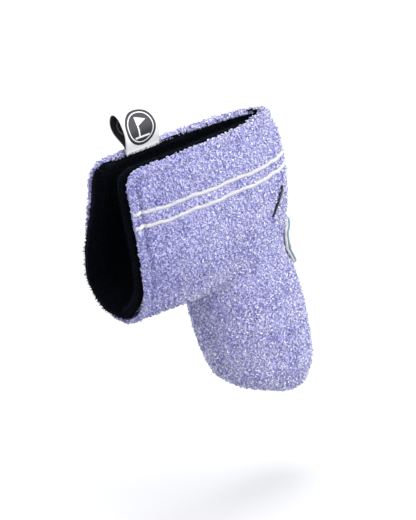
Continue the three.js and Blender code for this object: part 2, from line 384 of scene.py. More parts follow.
def swell(form):
    """Blows the closed form up a little, held along the seams and the opening. Returns how far each
    point moves."""
    rest, facing = points_of(form), normals_of(form)
    hold = form.vertex_groups.new(name="held")
    for index, (x, y, z) in enumerate(rest):
        nearness = min(abs(y) / 0.004, abs(x) / 0.004, abs(z - TOP) / 0.004, 1)
        hold.add([index], 1 - nearness, "REPLACE")
    only(form)
    cloth = form.modifiers.new("cloth", "CLOTH")
    cloth.settings.use_pressure = True
    cloth.settings.uniform_pressure_force = PRESSURE
    cloth.settings.effector_weights.gravity = 0
    cloth.settings.vertex_group_mass = "held"
    cloth.point_cache.frame_start, cloth.point_cache.frame_end = 1, 20
    for number in range(1, 21):
        bpy.context.scene.frame_set(number)
    bpy.ops.object.modifier_apply(modifier=cloth.name)
    bpy.context.scene.frame_set(1)
    outward = np.sum((points_of(form) - rest) * facing, axis=1)
    print("swell, mm: mean", round(float(outward.mean()) / MM, 2), "capped at", SWELL_CAP / MM)
    return rest, facing * np.clip(outward, 0, SWELL_CAP)[:, None]


coarse = plain_form("coarse", SWELL_START, 0.0045)
swell_rest, swell_move = swell(coarse)
remove(coarse)
swell_tree = tree_of(swell_rest)


def stuffed_form(name, depth, voxel, smoothing):
    """A layer of the cover at a depth. It swells as the coarse form did, by the four nearest of its
    points."""
    form = apply(plain_form(name, depth, voxel), "SMOOTH", factor=0.5, iterations=smoothing)
    co = points_of(form)
    shift = np.empty_like(co)
    for index, place in enumerate(co):
        near = swell_tree.find_n(place, 4)
        weights = np.array([1 / (distance + 0.001) for _, _, distance in near])
        shift[index] = weights @ swell_move[[other for _, other, _ in near]] / weights.sum()
    co += shift
    lean = MOUTH_LEAN * np.clip(1 - co[:, 0] / 0.04, 0, 1.25) ** 2
    co[:, 1] -= lean * np.clip(co[:, 1] / 0.008, -0.55, 1)
    move_points(form, co)
    return form


form = stuffed_form("form", SWELL_START, 0.0012, 4)
print("stuffed form:", len(form.data.polygons), "faces")

# %% [markdown]
# ## Cut the opening
# The opening runs up the neck side, round a corner and along the top. A knife needs a window, so the form
# is bisected by a fan of planes, each one touching the rounded outline. What lies beyond each plane is
# dropped.

# %% Helpers that trim a bag
CORNER = 0.009
FAN = 8
SEAM_GAP = 0.00015  # each half stops this far short of the middle plane


def bisect(piece, place, away):
    """Drops what lies beyond the plane, on the side that away points to."""
    only(piece)
    bpy.ops.object.mode_set(mode="EDIT")
    bpy.ops.mesh.select_all(action="SELECT")
    bpy.ops.mesh.bisect(plane_co=place, plane_no=away, clear_outer=True)
    bpy.ops.object.mode_set(mode="OBJECT")
    return piece


def trim(piece, margin):
    """Opens the bag at the neck side and the top, margin inside the edges."""
    radius = CORNER - margin / 2
    for step in range(FAN + 1):
        turn = math.pi / 2 * step / FAN
        away = Vector((-math.cos(turn), 0, math.sin(turn)))
        middle = Vector((margin + radius, 0, TOP - margin - radius))
        bisect(piece, middle + away * radius, away)
    return piece


def half_of(piece, name, side):
    """The front half (side -1) or the back half (side 1) of a bag."""
    half = copy_of(piece, name)
    return bisect(half, (0, side * SEAM_GAP, 0), (0, -side, 0))


def edge_distance(x, z, margin=0.0):
    """How far inside the rounded outline of the opening a point lies."""
    x, z = np.asarray(x) - margin, TOP - margin - np.asarray(z)
    in_corner = (x < CORNER) & (z < CORNER)
    return np.where(in_corner, CORNER - np.hypot(CORNER - x, CORNER - z), np.minimum(x, z))


outside = trim(copy_of(form, "outside"), 0)
outside_tree = BVHTree.FromObject(outside, bpy.context.evaluated_depsgraph_get())
HALVES = {"front": -1, "back": 1}
print("outside cloth:", len(outside.data.polygons), "faces")

# %% [markdown]
# ## Where the sewing pulls the cloth in
# A row of stitches runs just inside the opening, and two bands of satin stitch run round the neck. Each
# one pulls the pile down and leaves a groove, with a fuller welt beside it. The grooves are pressed into
# the form now, so that every layer made from it later has them too.

# %% Press the grooves into the outside cloth
TOPSTITCH = 0.0055  # from the edge of the opening to the row of stitches
BAND_WIDTH = 0.0022
BANDS = ("upper", "lower")


def band_height(band, x):
    """The middle of a satin band: it drops evenly from the opening to the sole."""
    mouth_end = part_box(f"stripe_{band}_front_corner")
    sole_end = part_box(f"stripe_{band}_front_pocket")
    left, right_x = mouth_end[1][2] - BAND_WIDTH / 2, sole_end[1][0]
    right = sole_end[0][2] + BAND_WIDTH / 2
    wobble = 0.0003 * np.sin(np.asarray(x) * 210) + 0.00015 * np.sin(np.asarray(x) * 530)
    return left + (right - left) * np.asarray(x) / right_x + wobble


GROOVE = 0.0021


def ridge(distance, width):
    return np.exp(-(np.asarray(distance) / width) ** 2)


def groove_depth(co):
    """How far the stitches pull the cloth in at each point."""
    edge = edge_distance(co[:, 0], co[:, 2])
    at_mouth = np.clip(1.2 - co[:, 0] / 0.016, 0.25, 1)
    depth = (GROOVE * ridge(edge - TOPSTITCH, 0.0013) - 0.0008 * ridge(edge - 0.0025, 0.0016)) * at_mouth
    for band in BANDS:
        off = co[:, 2] - band_height(band, co[:, 0])
        depth = depth + 0.0007 * ridge(off, 0.0015)
    return depth


co = points_of(outside)
move_points(outside, co - normals_of(outside) * groove_depth(co)[:, None])
outside_tree = BVHTree.FromObject(outside, bpy.context.evaluated_depsgraph_get())
print("grooves pressed, deepest mm:", round(float(groove_depth(co).max()) / MM, 2))

# %% [markdown]
# ## Folding corners
# The corners beside the opening fold about a slanting line, one at the front and one at the back. Cloth
# that crosses the line must bend and not tear, so each layer is made as one piece across it. Here the
# fold lines are read from the frame.

# %% Read the fold lines from the frame
FOLD_WIDTH = 0.009
JOINTS = {joint["name"]: joint for joint in frame["joints"]}


def across_fold(side_name):
    """Two points, one on each side of the fold line, square to it."""
    joint = JOINTS[side_name + "_corner_fold"]
    place, axis = Vector(joint["pos_m"]), Vector(joint["axis"])
    out = Vector((-abs(axis.z), 0, abs(axis.x))).normalized()
    return place - out * FOLD_WIDTH, place + out * FOLD_WIDTH


def crosses_fold(piece, side_name):
    start, end = across_fold(side_name)
    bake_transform(piece)
    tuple(start)
    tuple(end)


for side_name in HALVES:
    print(side_name, "fold runs square to", [round(v, 3) for v in (across_fold(side_name)[1] - across_fold(side_name)[0])])

# %% [markdown]
# ## Materials for cloth
# Every cloth here is rough and scatters light at its edges, which is what sheen does. What differs is the
# pattern. A helper makes a material with its shader, and each cloth then adds the nodes for its own
# colour and relief.

# %% A helper for materials
def base_colour(nodes, links, shader, value, *stops):
    """Colours the shader by a ramp over a value."""
    links.new(ramp(nodes, links, value, *stops), shader.inputs["Base Color"])


def cloth_material(name, roughness=0.9, sheen=0.0, sheen_tint=(1, 1, 1), sheen_roughness=0.5):
    material = bpy.data.materials.new(name)
    material.use_nodes = True
    shader = material.node_tree.nodes["Principled BSDF"]
    shader.inputs["Roughness"].default_value = roughness
    shader.inputs["Specular IOR Level"].default_value = 0.25
    shader.inputs["Sheen Weight"].default_value = sheen
    shader.inputs["Sheen Tint"].default_value = (*sheen_tint, 1)
    shader.inputs["Sheen Roughness"].default_value = sheen_roughness
    return material, material.node_tree.nodes, material.node_tree.links, shader


def object_noise(nodes, links, size, detail=3.0):
    """Noise on Object coordinates, with features of about this size in metres."""
    place = nodes.new("ShaderNodeTexCoord")
    noise = nodes.new("ShaderNodeTexNoise")
    noise.inputs["Scale"].default_value = 1 / size
    noise.inputs["Detail"].default_value = detail
    links.new(place.outputs["Object"], noise.inputs["Vector"])
    return noise.outputs["Fac"]


def ramp(nodes, links, value, *stops):
    """A colour ramp over a value: each stop is (place, colour)."""
    band = nodes.new("ShaderNodeValToRGB")
    while len(band.color_ramp.elements) < len(stops):
        band.color_ramp.elements.new(0.5)
    for element, (place, colour) in zip(band.color_ramp.elements, stops):
        element.position = place
        element.color = (*colour, 1)
    links.new(value, band.inputs["Fac"])
    return band.outputs["Color"]


def multiply(nodes, links, a, b, amount=1.0):
    mix = nodes.new("ShaderNodeMix")
    mix.data_type = "RGBA"
    mix.blend_type = "MULTIPLY"
    mix.inputs["Factor"].default_value = amount
    links.new(a, mix.inputs["A"])
    links.new(b, mix.inputs["B"])
    return mix.outputs["Result"]


def relief(nodes, links, shader, height, strength, distance):
    bump = nodes.new("ShaderNodeBump")
    bump.inputs["Strength"].default_value = strength
    bump.inputs["Distance"].default_value = distance
    links.new(height, bump.inputs["Height"])
    links.new(bump.outputs["Normal"], shader.inputs["Normal"])


# %% [markdown]
# ## Terry: the ground cloth
# Terry is a woven ground with loops of yarn standing on it. The ground is painted a deep violet, the
# darkest part: painted shade, for the shade between the loops. It is the outside of the form with a
# wall, and each half is one piece from the toe to the opening.

# %% Make the ground cloth
# Painted shade: the two violets colour the pits and the feet of the loops, where the pile is shaded.
PIT_SHADE_VIOLET = (0.085, 0.080, 0.26)
VIOLET = (0.50, 0.50, 0.77)
LAVENDER = (0.85, 0.855, 0.93)
LAVENDER_TIP = (0.67, 0.675, 0.75)

def turned_over(co):
    """How deep the terry is turned over the edge: a little at the mouth, more towards the end of the
    slit."""
    along_top = (TOP - co[:, 2] < co[:, 0] + 0.010) & (co[:, 2] > 0)
    back_share = np.clip((co[:, 0] + 0.004) / 0.02, 0, 1) * (co[:, 1] > 0)
    end_share = np.clip((co[:, 0] - 0.085) / 0.015, 0, 1)
    return 0.0010 + along_top * np.maximum(0.0036 * back_share, 0.0036 * end_share)


TERRY_WALL = 0.0012
ground, nodes, links, shader = cloth_material("terry_ground", 0.95, 0.2, LAVENDER_TIP)
weave = object_noise(nodes, links, 0.0009)
# Painted shade: the whole ground is coloured dark violet.
base_colour(nodes, links, shader, weave, (0.35, PIT_SHADE_VIOLET), (0.7, VIOLET))
relief(nodes, links, shader, weave, 0.6, 0.0004)

terry = {}
for side_name, side in HALVES.items():
    cloth = half_of(outside, "terry_cloth_" + side_name, side)
    co = points_of(cloth)
    at_edge = np.clip((0.0030 - edge_distance(co[:, 0], co[:, 2])) / 0.0008, 0, 1)
    wall = TERRY_WALL + at_edge * np.maximum(turned_over(co) - TERRY_WALL, 0)
    thick = cloth.vertex_groups.new(name="wall")
    for index, share in enumerate((wall / wall.max()).tolist()):
        thick.add([index], share, "REPLACE")
    apply(cloth, "SOLIDIFY", thickness=float(wall.max()), offset=-1, vertex_group="wall")
    cloth.vertex_groups.clear()
    cloth.data.materials.append(ground)
    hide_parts(f"shell_{side_name}_corner", f"shell_{side_name}_pocket")
    crosses_fold(cloth, side_name)
    terry[side_name] = cloth
    print(cloth.name, len(cloth.data.polygons), "faces")

# %% [markdown]
# ## Terry: the loops
# What makes terry look like terry is its loops, each one a millimetre or two of yarn, standing every way.
# A bump map would stay flat at the outline, where the real cloth is ragged. So one small ring of yarn is
# modelled, warped into a few kinds, and copied onto the cloth thousands of times, at places that keep a
# fair gap from each other.

# %% Model a few kinds of yarn loop
YARN = 0.00024
LOOP = 0.00055
random = np.random.default_rng(7)


def yarn_loop(bow, stretch):
    """A standing ring of yarn: bow bends it out of its plane, stretch makes it taller. Returns points
    and faces."""
    bpy.ops.object.select_all(action="DESELECT")
    bpy.ops.mesh.primitive_torus_add(
        major_radius=LOOP, minor_radius=YARN, major_segments=6, minor_segments=3, rotation=(math.pi / 2, 0, 0)
    )
    ring = bpy.context.object
    bpy.ops.object.transform_apply(location=True, rotation=True, scale=True)
    co = points_of(ring)
    co[:, 1] += bow * LOOP * np.sin(2 * np.arctan2(co[:, 2], co[:, 0]) + bow)
    co[:, 2] = co[:, 2] * stretch + LOOP * 0.45
    faces = np.array([list(face.vertices) for face in ring.data.polygons])
    remove(ring)
    return co, faces


KINDS = [yarn_loop(bow, stretch) for bow, stretch in ((0.5, 1.0), (-0.7, 1.15), (0.9, 0.85), (-0.4, 1.3))]
print("loop kinds:", len(KINDS), "with", len(KINDS[0][1]), "faces each")


# %% Helpers that spread copies over a surface
def triangles_of(piece):
    mesh = piece.data
    mesh.calc_loop_triangles()
    corners = np.empty(3 * len(mesh.loop_triangles), int)
    mesh.loop_triangles.foreach_get("vertices", corners)
    return points_of(piece)[corners.reshape(-1, 3)]


def random_places(piece, count):
    """Places spread evenly by area over a surface, and the way it faces at each."""
    corners = triangles_of(piece)
    facing = np.cross(corners[:, 1] - corners[:, 0], corners[:, 2] - corners[:, 0])
    area = np.linalg.norm(facing, axis=1)
    pick = random.choice(len(area), count, p=area / area.sum())
    a, b = random.random((2, count, 1))
    over = a + b > 1
    a, b = np.where(over, 1 - a, a), np.where(over, 1 - b, b)
    base, first, second = corners[pick].transpose(1, 0, 2)
    return base + (first - base) * a + (second - base) * b, facing[pick] / area[pick][:, None]


def spaced(places, gap):
    """Indexes of the places that keep a gap from all those kept before them."""
    cells = np.floor(places / gap).astype(int)
    kept_in, kept = {}, []
    around = [(i, j, k) for i in (-1, 0, 1) for j in (-1, 0, 1) for k in (-1, 0, 1)]
    points = places.tolist()
    for index, (i, j, k) in enumerate(cells.tolist()):
        x, y, z = points[index]
        near = (other for di, dj, dk in around for other in kept_in.get((i + di, j + dj, k + dk), ()))
        if all((x - u) ** 2 + (y - v) ** 2 + (z - w) ** 2 > gap * gap for u, v, w in near):
            kept_in.setdefault((i, j, k), []).append((x, y, z))
            kept.append(index)
    return np.array(kept)


def unit(vectors):
    return vectors / np.maximum(np.linalg.norm(vectors, axis=1, keepdims=True), 1e-12)


def scatter(name, kinds, places, facing, sizes, lean):
    """Copies of small shapes, each standing on the surface with a random turn and lean, joined in one
    piece."""
    count = len(places)
    upright = unit(facing + lean * random.normal(size=(count, 3)))
    sideways = unit(np.cross(upright, random.normal(size=(count, 3))))
    axes = np.stack([sideways, np.cross(upright, sideways), upright], axis=1)
    shapes = np.stack([co for co, _ in kinds])[random.integers(len(kinds), size=count)]
    co = (shapes * sizes[:, None, None]) @ axes + places[:, None, :]
    per_copy = shapes.shape[1]
    faces = kinds[0][1][None] + (np.arange(count) * per_copy)[:, None, None]
    mesh = bpy.data.meshes.new(name)
    mesh.from_pydata(co.reshape(-1, 3), [], faces.reshape(-1, faces.shape[2]))
    piece = bpy.data.objects.new(name, mesh)
    bpy.context.collection.objects.link(piece)
    lift = shapes[:, :, 2] / shapes[:, :, 2].max()
    tint = np.repeat(random.random(count), per_copy)
    for label, values in (("lift", lift), ("tint", tint)):
        mesh.attributes.new(label, "FLOAT", "POINT").data.foreach_set("value", values.ravel())
    mesh.shade_smooth()
    return piece


# %% [markdown]
# The loops are left out under the satin bands, the dash and the patch, and they are shorter in the
# grooves. Along the edge of the opening an extra row leans outwards, because there the cloth is turned
# over its own edge.

# %% Choose a place for every loop
TUFT_GAP = 0.0016
CREASE_GAP = 0.0030
PIT_GAP = 0.0026
PIT_RADIUS = 0.0006
LOOP_GAP = 0.00094
TRIES = 190000
PATCH_MIDDLE = [(low + high) / 2 for low, high in zip(*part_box("ball_patch"))]
PATCH_RADIUS = (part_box("ball_patch")[1][2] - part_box("ball_patch")[0][2]) / 2

dash_low, dash_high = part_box("dash_front")
# Its lower end leans a little more than the model's.
DASH_START = (dash_low[0] - 0.0016, dash_low[2] + 0.0014)
DASH_END = (dash_high[0], dash_high[2] + 0.0014)


def bare(co):
    """True where something is sewn on and the pile can't stand."""
    x, y, z = co.T
    covered = np.zeros(len(co), bool)
    for band in BANDS:
        covered |= np.abs(z - band_height(band, x)) < BAND_WIDTH / 2 - 0.0001
    covered |= (z - PATCH_MIDDLE[2]) ** 2 + y ** 2 < (PATCH_RADIUS * 0.96) ** 2 * (x > 0.09)
    run_x, run_z = DASH_END[0] - DASH_START[0], DASH_END[1] - DASH_START[1]
    off = np.abs((x - DASH_START[0]) * run_z - (z - DASH_START[1]) * run_x) / math.hypot(run_x, run_z)
    covered |= (off < 0.0007) & (x > DASH_START[0]) & (x < DASH_END[0]) & (y < 0)
    tee_low, tee_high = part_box("tee_patch")
    covered |= (x > 0.09) & (np.abs(y) < tee_high[1] * 0.8) & (z > tee_low[2]) & (z < tee_high[2])
    return covered


def outwards(co):
    """Which way leads out of the opening, over its edge."""
    x, z = co[:, 0], TOP - co[:, 2]
    in_corner = (x < CORNER) & (z < CORNER)
    corner_way = np.column_stack([x - CORNER, np.zeros(len(x)), CORNER - z])
    plain = np.where((x < z)[:, None], (-1.0, 0, 0), (0, 0, 1.0))
    return np.where(in_corner[:, None], unit(corner_way), plain)


places, facing = random_places(outside, TRIES)
chosen = spaced(places, LOOP_GAP)
places, facing = places[chosen], facing[chosen]
in_groove = np.clip(groove_depth(places) / GROOVE, 0, 1)
open_ground = ~bare(places) & (random.random(len(places)) > 1.2 * in_groove - 0.3)
places, facing = places[open_ground], facing[open_ground]

# Here and there a loop is missing, and the ground, painted dark as shade, shows through the pile.
pits = places[spaced(places, PIT_GAP)]
pit_tree = tree_of(pits)
from_pit = np.array([pit_tree.find(place)[2] for place in places])
places, facing = places[from_pit > PIT_RADIUS], facing[from_pit > PIT_RADIUS]

# Yarn loops lean together in tufts, and the pits between the tufts are what gives the pile its depth.
tuft_middles = places[spaced(places, TUFT_GAP)]
tuft_tree = tree_of(tuft_middles)
nearest = np.array([tuft_tree.find(place)[1] for place in places])
to_middle = tuft_middles[nearest] - places
fullness = 1.15 - 0.35 * np.linalg.norm(to_middle, axis=1) / TUFT_GAP
places = places + 0.15 * to_middle
facing = unit(facing + 0.6 * to_middle / TUFT_GAP)

near_edge = edge_distance(places[:, 0], places[:, 2]) < 0.0013
edge_places, edge_facing = places[near_edge], facing[near_edge]
over_edge = outwards(edge_places)
edge_in = edge_distance(edge_places[:, 0], edge_places[:, 2])
rows = []
for depth in np.arange(0.0004, 0.0060, 0.0008):
    turned = turned_over(edge_places) * random.uniform(0.9, 1.1, len(edge_places)) > depth
    dip = 0.0002 + 0.12 * depth
    row = edge_places + over_edge * (edge_in - dip)[:, None] - edge_facing * depth
    way = unit(over_edge + (0.3 - depth / 0.006) * edge_facing)
    rows.append((row[turned], way[turned]))
edge_count = sum(len(row) for row, _ in rows)
fullness = np.concatenate([fullness, np.full(edge_count, 1.05)])
places = np.vstack([places] + [row for row, _ in rows])
facing = np.vstack([facing] + [way for _, way in rows])
in_groove = np.clip(groove_depth(places) / GROOVE, 0, 1)
sizes = random.uniform(0.85, 1.25, len(places)) * fullness * (1 - 0.5 * in_groove)
print("loops:", len(places), "with", edge_count, "of them on the edge")

# %% Make the loops and their yarn
yarn, nodes, links, shader = cloth_material("terry_yarn", 1.0, 0.08, LAVENDER, 0.5)
shader.inputs["Specular IOR Level"].default_value = 0.02
lift = nodes.new("ShaderNodeAttribute")
lift.attribute_name = "lift"
tint = nodes.new("ShaderNodeAttribute")
tint.attribute_name = "tint"
# Painted shade along each loop: dark violet at the foot, where the pile shades it; the tip is a little darker than the
# middle.
along_yarn = ramp(nodes, links, lift.outputs["Fac"], (0.05, VIOLET), (0.5, LAVENDER), (0.95, LAVENDER_TIP))
by_loop = ramp(nodes, links, tint.outputs["Fac"], (0, (0.90, 0.90, 0.94)), (1, (1.0, 1.0, 1.0)))
# Along winding creases, in patches, the yarn is painted a darker violet: painted shade in the creases
# between the tufts. Towards the opening the pile is painted darker and more violet too: painted shade,
# for the side turned away from the key light.
creases = nodes.new("ShaderNodeTexVoronoi")
creases.feature = "DISTANCE_TO_EDGE"
creases.inputs["Scale"].default_value = 1 / CREASE_GAP
wander = nodes.new("ShaderNodeMixRGB")
wander.blend_type = "ADD"
wander.inputs["Fac"].default_value = 0.0022
links.new(nodes.new("ShaderNodeTexCoord").outputs["Object"], wander.inputs["Color1"])
links.new(object_noise(nodes, links, 0.002), wander.inputs["Color2"])
links.new(wander.outputs["Color"], creases.inputs["Vector"])
# Painted shade: darker violet along the creases.
crease_shade = ramp(nodes, links, creases.outputs["Distance"], (0.05, (0.22, 0.22, 0.52)), (0.17, (1, 1, 1)))
patches = object_noise(nodes, links, 0.011, 1.0)
crease_shade_patches = ramp(nodes, links, patches, (0.3, (0.45, 0.45, 0.45)), (0.7, (1, 1, 1)))
across = nodes.new("ShaderNodeSeparateXYZ")
links.new(nodes.new("ShaderNodeTexCoord").outputs["Object"], across.inputs["Vector"])
from_mouth = nodes.new("ShaderNodeMapRange")
from_mouth.inputs["From Min"].default_value = 0.004
from_mouth.inputs["From Max"].default_value = 0.056
links.new(across.outputs["X"], from_mouth.inputs["Value"])
# Painted shade: darker and more violet towards the opening, away from the key light.
mouth_side_shade = ramp(nodes, links, from_mouth.outputs["Result"], (0, (0.66, 0.66, 0.79)), (1, (1, 1, 1)))
crease_shaded = nodes.new("ShaderNodeMix")
crease_shaded.data_type = "RGBA"
crease_shaded.blend_type = "MULTIPLY"
links.new(crease_shade_patches, crease_shaded.inputs["Factor"])
links.new(multiply(nodes, links, along_yarn, by_loop), crease_shaded.inputs["A"])
links.new(crease_shade, crease_shaded.inputs["B"])
links.new(multiply(nodes, links, crease_shaded.outputs["Result"], mouth_side_shade), shader.inputs["Base Color"])

for side_name, side in HALVES.items():
    below = places[:, 2] < UNDERSIDE
    mouthward = places[:, 0] < 0.05
    for part, inside in (("mouth", ~below & mouthward), ("neck", ~below & ~mouthward), ("toe", below)):
        here = (places[:, 1] * side > 0) & inside
        pile = scatter(f"terry_loops_{side_name}_{part}", KINDS, places[here], facing[here], sizes[here], 0.5)
        pile.data.materials.append(yarn)
        if part == "toe":
            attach(pile, "pocket")
        else:
            crosses_fold(pile, side_name)
        print(pile.name, len(pile.data.polygons) * 2, "triangles")

# %% [markdown]
# ## Black plush lining
# The lining is one sheet of short plush that is turned over at the opening and sewn under the terry. The
# turn is made by wrapping: a point that lies past the edge goes round a small roll instead, by the same
# distance. A sheet that is wrapped so keeps its size, as cloth does.

# %% Wrap the lining over the edge
LINING_DEPTH = 0.0073  # the middle of the sheet, from the outside of the model
LINING_WALL = 0.0014
ROLL = 0.00205  # radius of the turned edge
ROLL_OUT = 0.0027  # it is wider than it is tall, so that it reaches the terry
ROLL_TURN = math.radians(175)


def low_back(co):
    """1 at the lower back of the mouth, where the plush is fullest, falling to 0 away from it."""
    low = np.clip((0.015 - co[:, 2]) / 0.03, 0, 1) * np.clip(co[:, 1] / 0.004, 0, 1)
    return low * np.clip(1 - co[:, 0] / 0.03, 0, 1)


def rim_swell(co):
    """How far the turned edge stands out of the opening: most at the lower back, where the plush is
    full."""
    along_top = (TOP - co[:, 2] < co[:, 0]) & (co[:, 2] > 0)
    recess = along_top * (0.0012 + 0.7 * (turned_over(co) - 0.0010))
    return 0.0006 + 0.0034 * low_back(co) - recess


def wrap_edge(sheet):
    co, facing = points_of(sheet), normals_of(sheet)
    edge = edge_distance(co[:, 0], co[:, 2])
    turn = np.clip((ROLL - edge) / ROLL, 0, None)
    roll_out = ROLL_OUT + 0.0008 * low_back(co)
    new_edge = ROLL - ROLL * np.sin(turn) - rim_swell(co) * np.sin(np.clip(turn, 0, math.pi))
    wrapped = co + outwards(co) * (edge - new_edge)[:, None] + facing * (roll_out * (1 - np.cos(turn)))[
        :, None
    ]
    move_points(sheet, np.where((turn > 0)[:, None], wrapped, co))


inner = stuffed_form("inner", LINING_DEPTH, 0.0016, 6)
trim(inner, ROLL - ROLL * ROLL_TURN)
wrap_edge(inner)
print("lining sheet:", len(inner.data.polygons), "faces")

# %% Make the plush and its fibres
plush, nodes, links, shader = cloth_material("black_plush", 1.0, 0.05, (0.35, 0.42, 0.6), 0.5)
shader.inputs["Specular IOR Level"].default_value = 0.03
nap = object_noise(nodes, links, 0.0022)
base_colour(nodes, links, shader, nap, (0.3, (0.0003, 0.0005, 0.0012)), (0.75, (0.0014, 0.0022, 0.0042)))
relief(nodes, links, shader, object_noise(nodes, links, 0.0007), 0.7, 0.0005)

FIBRE = 0.0013
FIBRE_GAP = 0.0007


def fibre_kind(bend):
    """A bent tuft of plush with a sharp end."""
    bpy.ops.object.select_all(action="DESELECT")
    bpy.ops.mesh.primitive_cone_add(
        vertices=4, radius1=0.00018, radius2=0.00003, depth=FIBRE, end_fill_type="NOTHING"
    )
    tuft = bpy.context.object
    co = points_of(tuft)
    co[:, 2] += FIBRE / 2
    co[:, 0] += bend * co[:, 2] ** 2 / FIBRE
    faces = np.array([list(face.vertices) for face in tuft.data.polygons])
    remove(tuft)
    return co, faces


TUFTS = [fibre_kind(bend) for bend in (0.2, 0.5, 0.8)]
for side_name, side in HALVES.items():
    sheet = half_of(inner, "lining_" + side_name, side)
    deep = random_places(sheet, 150000)
    from_edge = edge_distance(deep[0][:, 0], deep[0][:, 2])
    seen = from_edge < 0.05
    tuft_places, tuft_facing = deep[0][seen], deep[1][seen]
    # The sheet faces outwards, and its pile stands on the other side: into the cover, and round the
    # turned edge.
    chosen = spaced(tuft_places, FIBRE_GAP)
    tuft_places = tuft_places[chosen] - tuft_facing[chosen] * LINING_WALL / 2
    pile = scatter(
        "plush_pile_" + side_name, TUFTS, tuft_places, -tuft_facing[chosen],
        random.uniform(0.7, 1.3, len(chosen)) * (1 + 0.15 * low_back(tuft_places)), 0.35,
    )
    apply(sheet, "SOLIDIFY", thickness=LINING_WALL, offset=0)
    for piece in (sheet, pile):
        piece.data.materials.append(plush)
        crosses_fold(piece, side_name)
    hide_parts(f"lining_{side_name}_corner", f"lining_{side_name}_pocket")
    print(sheet.name, len(sheet.data.polygons), "faces,", len(pile.data.polygons), "faces of pile")
remove(inner)

# %% [markdown]
# ## Foam, pouches and magnets
# Between terry and plush lies a sheet of foam, cut back from the opening so that the edge can turn. Four
# flat magnets hold the opening shut. Each one sits in a cotton pouch in a window of the foam. None of
# this shows, but the cover is built with it.

# %% Cut the foam
FOAM_DEPTH = 0.0045
FOAM_WALL = 0.0031
FOAM_MARGIN = 0.004
PLACES = ("mouth", "top")

foam, nodes, links, shader = cloth_material("foam", 0.95)
cells = nodes.new("ShaderNodeTexVoronoi")
cells.inputs["Scale"].default_value = 900
place = nodes.new("ShaderNodeTexCoord")
links.new(place.outputs["Object"], cells.inputs["Vector"])
base_colour(
    nodes, links, shader, cells.outputs["Distance"], (0.1, (0.42, 0.42, 0.40)), (0.7, (0.66, 0.65, 0.62))
)
relief(nodes, links, shader, cells.outputs["Distance"], 0.6, 0.0006)

middle_sheet = stuffed_form("middle_sheet", FOAM_DEPTH, 0.002, 4)
trim(middle_sheet, FOAM_MARGIN)
for side_name, side in HALVES.items():
    sheet = half_of(middle_sheet, "foam_" + side_name, side)
    shaped = bmesh.new()
    shaped.from_mesh(sheet.data)
    doomed = []
    for spot in PLACES:
        low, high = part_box(f"magnet_pouch_{side_name}_{spot}")
        for face in shaped.faces:
            middle = face.calc_center_median()
            if low[0] - MM < middle.x < high[0] + MM and low[2] - MM < middle.z < high[2] + MM:
                doomed.append(face)
    bmesh.ops.delete(shaped, geom=list(set(doomed)), context="FACES")
    shaped.to_mesh(sheet.data)
    shaped.free()
    apply(sheet, "SOLIDIFY", thickness=FOAM_WALL, offset=0)
    sheet.data.materials.append(foam)
    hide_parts(f"pad_{side_name}_corner", f"pad_{side_name}_pocket")
    crosses_fold(sheet, side_name)
    print(sheet.name, len(sheet.data.polygons), "faces")
remove(middle_sheet)

# %% Sew the magnet pouches
cotton, nodes, links, shader = cloth_material("pouch_cotton", 0.9)
threads = nodes.new("ShaderNodeTexWave")
threads.inputs["Scale"].default_value = 700
threads.inputs["Distortion"].default_value = 1.5
place = nodes.new("ShaderNodeTexCoord")
links.new(place.outputs["Object"], threads.inputs["Vector"])
base_colour(
    nodes, links, shader, threads.outputs["Fac"], (0.2, (0.60, 0.58, 0.53)), (0.8, (0.78, 0.77, 0.72))
)
relief(nodes, links, shader, threads.outputs["Fac"], 0.4, 0.0002)

nickel, nodes, links, shader = cloth_material("nickel", 0.28)
shader.inputs["Metallic"].default_value = 1
scratches = object_noise(nodes, links, 0.0015)
base_colour(nodes, links, shader, scratches, (0.3, (0.52, 0.51, 0.49)), (0.7, (0.68, 0.67, 0.64)))
relief(nodes, links, shader, scratches, 0.1, 0.0001)


def body_of(node_name):
    """The body that a CAD node rides on."""
    holder = NODES[node_name].parent
    return next(name for name, empty in frame["bodies"].items() if empty == holder)


for side_name in HALVES:
    for spot in PLACES:
        node_name = f"magnet_pouch_{side_name}_{spot}"
        pouch = copy_of(NODES[node_name], f"pouch_{side_name}_{spot}")
        pouch.parent = None
        only(pouch)
        bpy.ops.object.mode_set(mode="EDIT")
        bpy.ops.mesh.select_all(action="SELECT")
        bpy.ops.mesh.remove_doubles(threshold=0.00001)
        bpy.ops.object.mode_set(mode="OBJECT")
        apply(pouch, "BEVEL", width=0.0003, segments=2, limit_method="ANGLE")
        pouch.data.materials.clear()
        pouch.data.materials.append(cotton)
        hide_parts(node_name)
        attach(pouch, body_of(node_name))
        magnet = NODES[f"magnet_{side_name}_{spot}"]
        magnet.data.materials.clear()
        magnet.data.materials.append(nickel)
        print(pouch.name, "rides on", body_of(node_name))

# %% [markdown]
# ## Satin bands and dash
# Satin stitch is thread laid side by side across a narrow band, so that it shines and stands up in a
# small ridge. The middle line of each band is found on the cloth by casting rays at it. A section is then
# carried along that line and rises and falls once for each thread.

# %% Find a line on the cloth
TURN_X = 0.095  # past this the rays fan out, to follow the cloth round the sole


def on_cloth(origin, aim):
    place, facing, _, _ = outside_tree.ray_cast(Vector(origin), Vector(aim))
    return (np.array(place), np.array(facing)) if place is not None else None


